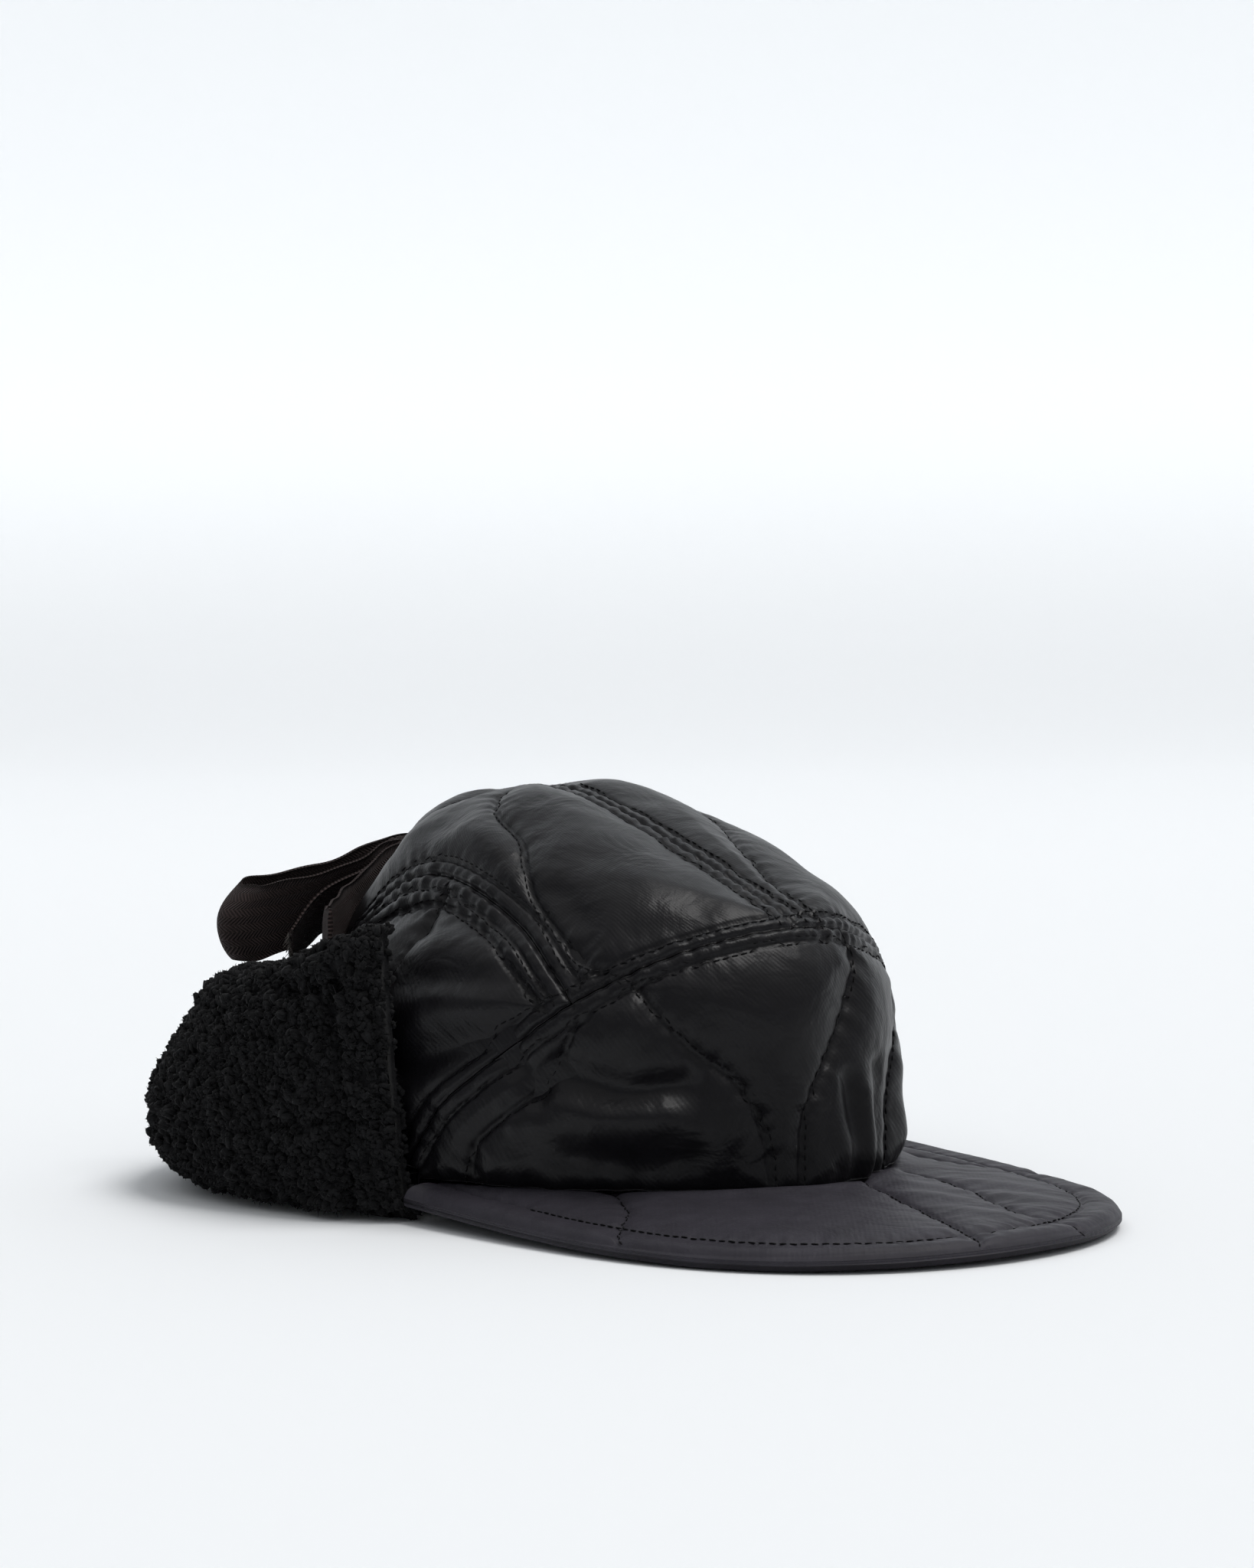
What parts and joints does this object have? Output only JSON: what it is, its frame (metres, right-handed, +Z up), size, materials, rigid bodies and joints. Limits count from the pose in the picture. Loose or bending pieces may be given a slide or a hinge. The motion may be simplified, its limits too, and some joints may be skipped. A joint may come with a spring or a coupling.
{
  "type": "quilted cap with folding ear flap",
  "caption": "Quilted camp cap with a flat covered brim and a pile-lined neck and ear flap, folded up and tied behind with a tape bow.",
  "frame": {"origin": "under the middle of the hat's length and width, on the surface it stands on; the tie tapes and the bow are left out of that middle", "axes": "-Y to the brim's tip, +X to the wearer's left, +Z up"},
  "size_m": [0.2372, 0.322, 0.1244],
  "materials": {
    "nylon": "satin twill nylon, quilted",
    "brim_nylon": "satin twill nylon, quilted",
    "brim_board": "matt moulded board",
    "lining": "matt woven nylon",
    "seam_tape": "woven binding",
    "sweatband": "matt cotton twill",
    "label": "woven label, blank",
    "pile": "curled sherpa pile",
    "herringbone_tape": "cotton herringbone weave"
  },
  "bodies": {
    "crown": {"front_wrap_panel": "nylon", "top_panel_right": "nylon", "top_panel_left": "nylon", "rear_panel_right": "nylon", "rear_panel_left": "nylon", "front_lining": "lining", "top_lining_right": "lining", "top_lining_left": "lining", "rear_lining_right": "lining", "rear_lining_left": "lining", "centre_seam_tape": "seam_tape", "sweatband": "sweatband", "rear_hem": "nylon", "size_label": "label", "brim_top_cover": "brim_nylon", "brim_board": "brim_board", "brim_under_cover": "brim_nylon"},
    "neck_flap": {"neck_shell": "nylon", "neck_pile": "pile"},
    "ear_right_flap": {"ear_shell_right": "nylon", "ear_pile_right": "pile", "tie_tape_right": "herringbone_tape", "bow_knot_right": "herringbone_tape"},
    "corner_right_flap": {"corner_shell_right": "nylon", "corner_pile_right": "pile"},
    "corner_left_flap": {"corner_shell_left": "nylon", "corner_pile_left": "pile"},
    "ear_left_flap": {"ear_shell_left": "nylon", "ear_pile_left": "pile", "tie_tape_left": "herringbone_tape", "bow_knot_left": "herringbone_tape"}
  },
  "joints": [
    {"name": "neck_fold", "type": "hinge", "parent": "crown", "child": "neck_flap", "pos_m": [0, 0.11536, 0], "axis": [-1, 0, 0], "range_deg": [0, 145]},
    {"name": "ear_right_fold", "type": "hinge", "parent": "crown", "child": "ear_right_flap", "pos_m": [-0.08057, 0.03834, 0], "axis": [-0.0833, -0.9965, 0], "range_deg": [0, 145]},
    {"name": "corner_right_fold", "type": "hinge", "parent": "crown", "child": "corner_right_flap", "pos_m": [-0.05642, 0.09151, 0], "axis": [-0.6729, -0.7397, 0], "range_deg": [0, 145]},
    {"name": "corner_left_fold", "type": "hinge", "parent": "crown", "child": "corner_left_flap", "pos_m": [0.05642, 0.09151, 0], "axis": [-0.6729, 0.7397, 0], "range_deg": [0, 145]},
    {"name": "ear_left_fold", "type": "hinge", "parent": "crown", "child": "ear_left_flap", "pos_m": [0.08057, 0.03834, 0], "axis": [-0.0833, 0.9965, 0], "range_deg": [0, 145]}
  ],
  "couplings": [
    {"joint": "ear_right_fold", "follows": "neck_fold", "ratio": 1},
    {"joint": "corner_right_fold", "follows": "neck_fold", "ratio": 1},
    {"joint": "corner_left_fold", "follows": "neck_fold", "ratio": 1},
    {"joint": "ear_left_fold", "follows": "neck_fold", "ratio": 1}
  ]
}
